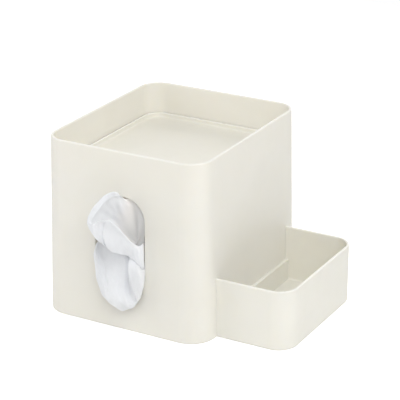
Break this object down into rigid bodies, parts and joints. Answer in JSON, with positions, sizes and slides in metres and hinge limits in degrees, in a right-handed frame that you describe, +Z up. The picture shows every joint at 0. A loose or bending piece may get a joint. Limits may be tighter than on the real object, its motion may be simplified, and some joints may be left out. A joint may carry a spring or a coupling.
{
  "type": "tissue box organizer",
  "caption": "Tapered round-cornered cover that stands over a cube box of tissues, with a tall front slot, a lift-out tray in its top and an open caddy on its right side.",
  "frame": {"origin": "middle of the cover's footprint, on the counter", "axes": "+X towards the caddy, +Y towards the back, away from the tissue slot, +Z up"},
  "size_m": [0.207, 0.1872, 0.146],
  "materials": {
    "cover_plastic": "satin",
    "tray_plastic": "satin",
    "caddy_plastic": "satin",
    "carton_board": "matte",
    "carton_film": "gloss",
    "tissue_pile": "matte",
    "tissue_paper": "matte"
  },
  "bodies": {
    "refill": {"tissue_carton": "carton_board", "carton_film": "carton_film", "tissue_stack": "tissue_pile"},
    "cover": {"cover_shell": "cover_plastic", "side_caddy": "caddy_plastic"},
    "tray": {"top_tray": "tray_plastic"},
    "tissue": {"pulled_tissue": "tissue_paper"}
  },
  "joints": [
    {"name": "cover_lift", "type": "slide", "parent": "refill", "child": "cover", "axis": [0, 0, 1], "range_m": [0, 0.13]},
    {"name": "tray_lift", "type": "slide", "parent": "cover", "child": "tray", "axis": [0, 0, 1], "range_m": [0, 0.04]},
    {"name": "tissue_pull", "type": "slide", "parent": "cover", "child": "tissue", "axis": [0, -1, 0], "range_m": [0, 0.1]}
  ]
}
